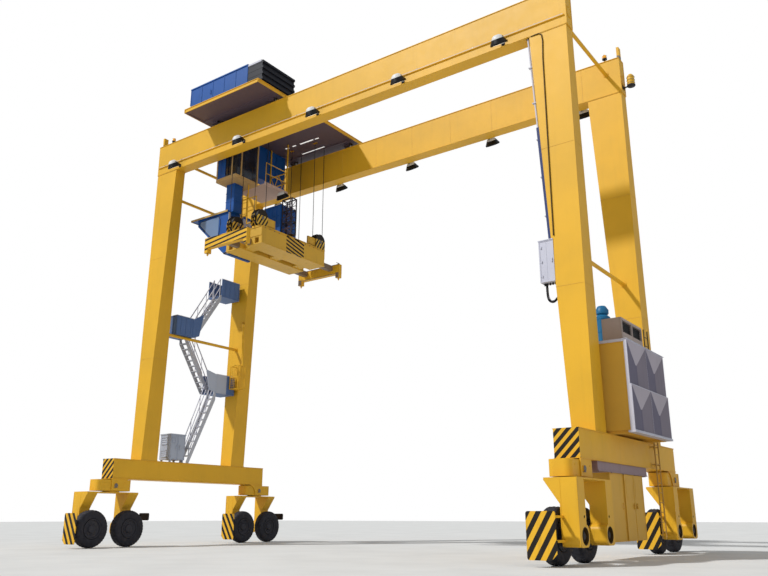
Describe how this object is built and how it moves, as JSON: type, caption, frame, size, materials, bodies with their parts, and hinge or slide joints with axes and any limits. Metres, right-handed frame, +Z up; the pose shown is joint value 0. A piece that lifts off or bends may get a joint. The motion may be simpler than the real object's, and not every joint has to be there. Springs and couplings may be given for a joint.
{
  "type": "rubber tyred gantry crane",
  "caption": "Container crane: two girders on tapered legs, swivelling wheel bogies, a travelling trolley with cab, and a rope-hung telescopic spreader.",
  "frame": {"origin": "on the ground under the centre of the crane's overall box", "axes": "+X across the lane, the trolley's way, from the stair side to the generator side; +Y along the crane's own way of driving, away from the camera side; +Z up"},
  "size_m": [21.2194, 11.4, 19.22],
  "materials": {
    "yellow_paint": "satin",
    "blue_paint": "satin",
    "grey_paint": "satin",
    "dark_paint": "matte",
    "orange_lamp": "gloss",
    "rail_steel": "worn",
    "rope_steel": "matte",
    "tyre_rubber": "matte",
    "cab_window": "gloss"
  },
  "bodies": {
    "portal": {"near_girder": "yellow_paint", "far_girder": "yellow_paint", "trolley_rails": "rail_steel", "near_left_leg": "yellow_paint", "near_right_leg": "yellow_paint", "far_left_leg": "yellow_paint", "far_right_leg": "yellow_paint", "left_sill": "yellow_paint", "right_sill": "yellow_paint", "tie_pipes": "yellow_paint", "floodlights": "dark_paint", "beacons": "orange_lamp", "leg_junction_box": "grey_paint", "generator_house": "yellow_paint", "cooling_hoods": "grey_paint", "vent_box": "grey_paint", "exhaust_drum": "blue_paint", "sill_tray": "dark_paint", "drive_cabinet": "yellow_paint", "boarding_ladder": "dark_paint", "left_cabinet": "grey_paint", "stair_flights": "grey_paint", "stair_landings": "blue_paint", "leg_basket": "yellow_paint"},
    "near_cabinet_door": {"near_cabinet_door": "yellow_paint"},
    "far_cabinet_door": {"far_cabinet_door": "yellow_paint"},
    "trolley": {"trolley_deck": "yellow_paint", "machinery_housing": "blue_paint", "radiator_box": "dark_paint", "hoist_drum": "dark_paint", "trolley_wheels": "dark_paint", "electrical_cabin": "dark_paint", "switchgear_box": "blue_paint", "trolley_walkway": "yellow_paint", "operator_cab": "blue_paint", "cab_glass": "cab_window"},
    "spreader": {"headblock": "yellow_paint", "headblock_sheaves": "dark_paint", "cable_basket": "blue_paint", "spreader_frame": "yellow_paint", "hoist_ropes": "rope_steel"},
    "near_spreader_end": {"near_spreader_end": "yellow_paint"},
    "far_spreader_end": {"far_spreader_end": "yellow_paint"},
    "near_left_saddle": {"near_left_saddle": "yellow_paint"},
    "near_left_bogie": {"near_left_bogie": "yellow_paint"},
    "near_left_wheel_a": {"near_left_wheel_a": "tyre_rubber"},
    "near_left_wheel_b": {"near_left_wheel_b": "tyre_rubber"},
    "near_right_saddle": {"near_right_saddle": "yellow_paint"},
    "near_right_bogie": {"near_right_bogie": "yellow_paint"},
    "near_right_wheel_a": {"near_right_wheel_a": "tyre_rubber"},
    "near_right_wheel_b": {"near_right_wheel_b": "tyre_rubber"},
    "far_left_saddle": {"far_left_saddle": "yellow_paint"},
    "far_left_bogie": {"far_left_bogie": "yellow_paint"},
    "far_left_wheel_a": {"far_left_wheel_a": "tyre_rubber"},
    "far_left_wheel_b": {"far_left_wheel_b": "tyre_rubber"},
    "far_right_saddle": {"far_right_saddle": "yellow_paint"},
    "far_right_bogie": {"far_right_bogie": "yellow_paint"},
    "far_right_wheel_a": {"far_right_wheel_a": "tyre_rubber"},
    "far_right_wheel_b": {"far_right_wheel_b": "tyre_rubber"}
  },
  "joints": [
    {"name": "trolley_travel", "type": "slide", "parent": "portal", "child": "trolley", "axis": [1, 0, 0], "range_m": [-0.5, 11.6]},
    {"name": "hoist", "type": "slide", "parent": "trolley", "child": "spreader", "axis": [0, 0, 1], "range_m": [-9, 0.4], "deforming": ["hoist_ropes"]},
    {"name": "near_telescope", "type": "slide", "parent": "spreader", "child": "near_spreader_end", "axis": [0, -1, 0], "range_m": [0, 3.067]},
    {"name": "far_telescope", "type": "slide", "parent": "spreader", "child": "far_spreader_end", "axis": [0, 1, 0], "range_m": [0, 3.067]},
    {"name": "near_cabinet_door_hinge", "type": "hinge", "parent": "portal", "child": "near_cabinet_door", "pos_m": [9.57055, -0.84, 1.4], "axis": [0, 0, -1], "range_deg": [0, 100]},
    {"name": "far_cabinet_door_hinge", "type": "hinge", "parent": "portal", "child": "far_cabinet_door", "pos_m": [9.57055, 0.75, 1.4], "axis": [0, 0, 1], "range_deg": [0, 100]},
    {"name": "near_left_rock", "type": "hinge", "parent": "portal", "child": "near_left_saddle", "pos_m": [-10.00275, -3.99, 2.33], "axis": [1, 0, 0], "range_deg": [-2, 2]},
    {"name": "near_left_swivel", "type": "hinge", "parent": "near_left_saddle", "child": "near_left_bogie", "pos_m": [-10.00275, -3.99, 2.1], "axis": [0, 0, 1], "range_deg": [0, 90]},
    {"name": "near_left_wheel_a_spin", "type": "hinge", "parent": "near_left_bogie", "child": "near_left_wheel_a", "pos_m": [-10.00275, -4.83, 0.698], "axis": [1, 0, 0], "continuous": true},
    {"name": "near_left_wheel_b_spin", "type": "hinge", "parent": "near_left_bogie", "child": "near_left_wheel_b", "pos_m": [-10.00275, -3.15, 0.698], "axis": [1, 0, 0], "continuous": true},
    {"name": "near_right_rock", "type": "hinge", "parent": "portal", "child": "near_right_saddle", "pos_m": [9.28325, -3.99, 2.33], "axis": [1, 0, 0], "range_deg": [-2, 2]},
    {"name": "near_right_swivel", "type": "hinge", "parent": "near_right_saddle", "child": "near_right_bogie", "pos_m": [9.28325, -3.99, 2.1], "axis": [0, 0, -1], "range_deg": [0, 90]},
    {"name": "near_right_wheel_a_spin", "type": "hinge", "parent": "near_right_bogie", "child": "near_right_wheel_a", "pos_m": [9.28325, -4.83, 0.698], "axis": [1, 0, 0], "continuous": true},
    {"name": "near_right_wheel_b_spin", "type": "hinge", "parent": "near_right_bogie", "child": "near_right_wheel_b", "pos_m": [9.28325, -3.15, 0.698], "axis": [1, 0, 0], "continuous": true},
    {"name": "far_left_rock", "type": "hinge", "parent": "portal", "child": "far_left_saddle", "pos_m": [-10.00275, 3.99, 2.33], "axis": [1, 0, 0], "range_deg": [-2, 2]},
    {"name": "far_left_swivel", "type": "hinge", "parent": "far_left_saddle", "child": "far_left_bogie", "pos_m": [-10.00275, 3.99, 2.1], "axis": [0, 0, -1], "range_deg": [0, 90]},
    {"name": "far_left_wheel_a_spin", "type": "hinge", "parent": "far_left_bogie", "child": "far_left_wheel_a", "pos_m": [-10.00275, 3.15, 0.698], "axis": [1, 0, 0], "continuous": true},
    {"name": "far_left_wheel_b_spin", "type": "hinge", "parent": "far_left_bogie", "child": "far_left_wheel_b", "pos_m": [-10.00275, 4.83, 0.698], "axis": [1, 0, 0], "continuous": true},
    {"name": "far_right_rock", "type": "hinge", "parent": "portal", "child": "far_right_saddle", "pos_m": [9.28325, 3.99, 2.33], "axis": [1, 0, 0], "range_deg": [-2, 2]},
    {"name": "far_right_swivel", "type": "hinge", "parent": "far_right_saddle", "child": "far_right_bogie", "pos_m": [9.28325, 3.99, 2.1], "axis": [0, 0, 1], "range_deg": [0, 90]},
    {"name": "far_right_wheel_a_spin", "type": "hinge", "parent": "far_right_bogie", "child": "far_right_wheel_a", "pos_m": [9.28325, 3.15, 0.698], "axis": [1, 0, 0], "continuous": true},
    {"name": "far_right_wheel_b_spin", "type": "hinge", "parent": "far_right_bogie", "child": "far_right_wheel_b", "pos_m": [9.28325, 4.83, 0.698], "axis": [1, 0, 0], "continuous": true}
  ],
  "couplings": [
    {"joint": "far_telescope", "follows": "near_telescope", "ratio": 1}
  ]
}
